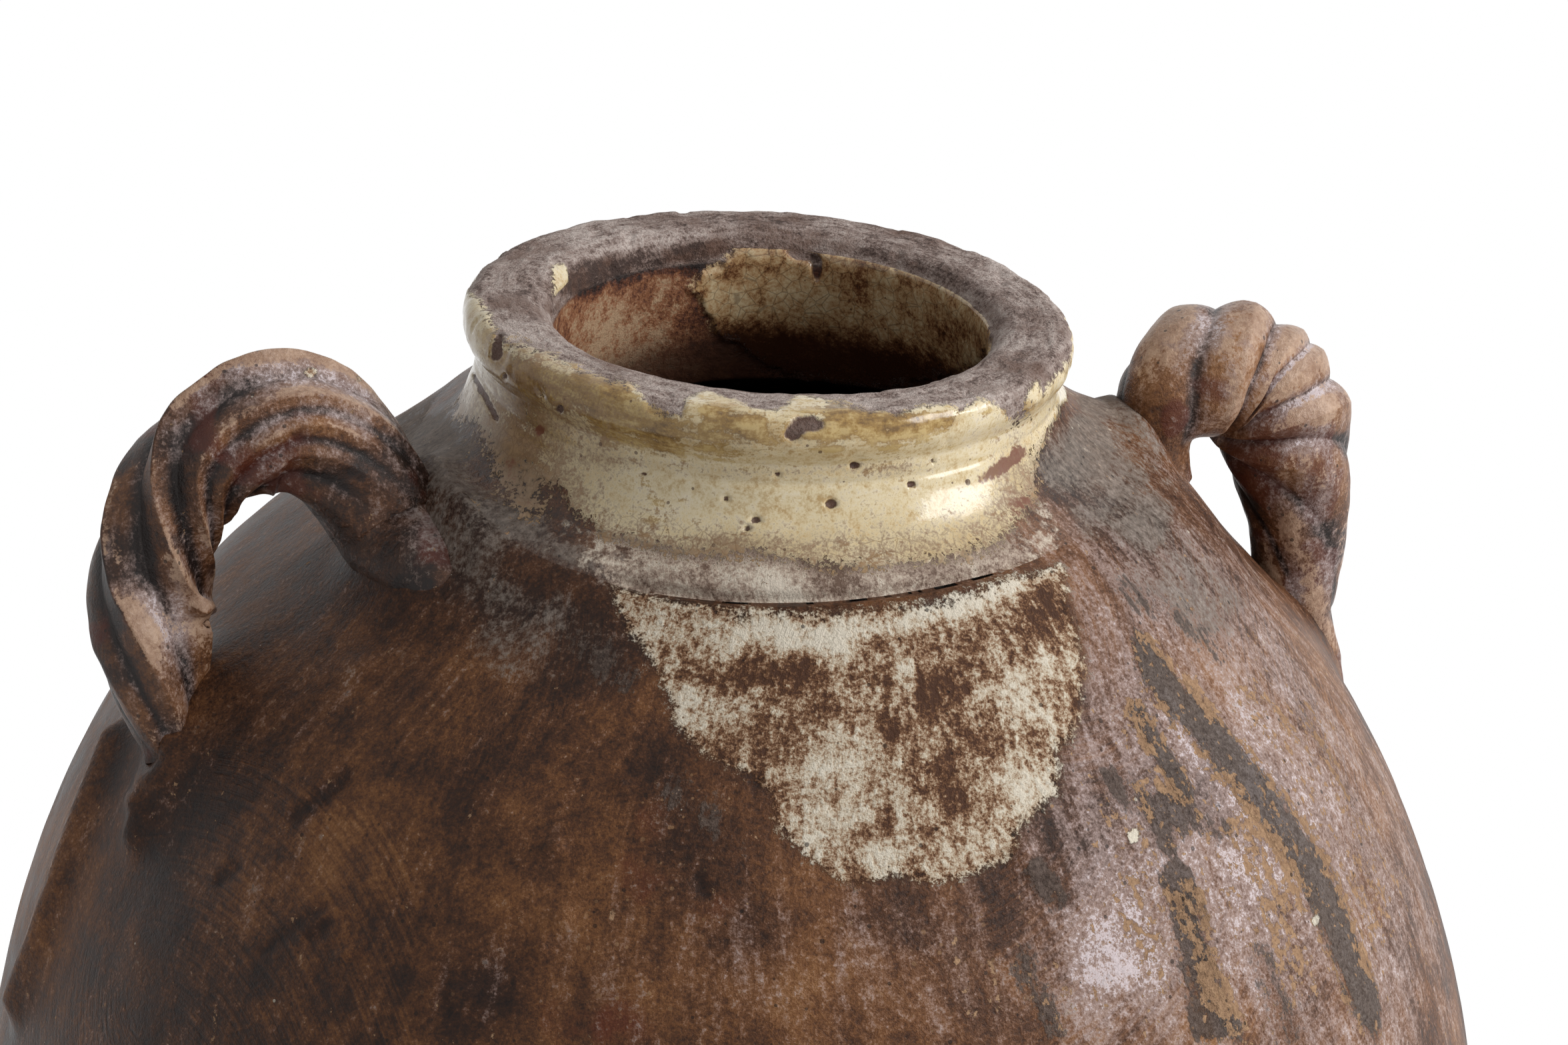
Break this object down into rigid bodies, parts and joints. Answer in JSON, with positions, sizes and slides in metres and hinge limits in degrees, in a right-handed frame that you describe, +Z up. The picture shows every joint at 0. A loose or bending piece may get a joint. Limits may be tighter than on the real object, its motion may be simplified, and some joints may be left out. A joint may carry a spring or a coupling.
{
  "type": "terracotta oil jar",
  "caption": "Large ovoid terracotta oil jar with a flat foot, a low off-centre glazed neck, a thick rolled lip and twisted rope handles on the shoulder.",
  "frame": {"origin": "middle of the flat foot, on the surface that the jar stands on", "axes": "+Z up along the body's axis; +X towards the right handle's side, which the lip leans down to; -Y is the front, with the pale patch"},
  "size_m": [0.5498, 0.5498, 0.6862],
  "materials": {
    "body_clay": "satin",
    "foot_clay": "matt",
    "cream_glaze": "glossy",
    "bare_rim": "rough",
    "handle_clay": "semi-gloss"
  },
  "bodies": {
    "root": {"base_slab": "foot_clay", "lower_wall": "foot_clay", "belly_wall": "body_clay", "shoulder_wall": "body_clay", "neck_collar": "cream_glaze", "rim_ring": "bare_rim", "left_handle_strand_1": "handle_clay", "left_handle_strand_2": "handle_clay", "left_handle_strand_3": "handle_clay", "left_handle_strand_4": "handle_clay", "left_handle_strand_5": "handle_clay", "right_handle_strand_1": "handle_clay", "right_handle_strand_2": "handle_clay", "right_handle_strand_3": "handle_clay", "left_handle_upper_foot": "handle_clay", "left_handle_lower_foot": "handle_clay", "right_handle_upper_foot": "handle_clay", "right_handle_lower_foot": "handle_clay"}
  },
  "joints": []
}
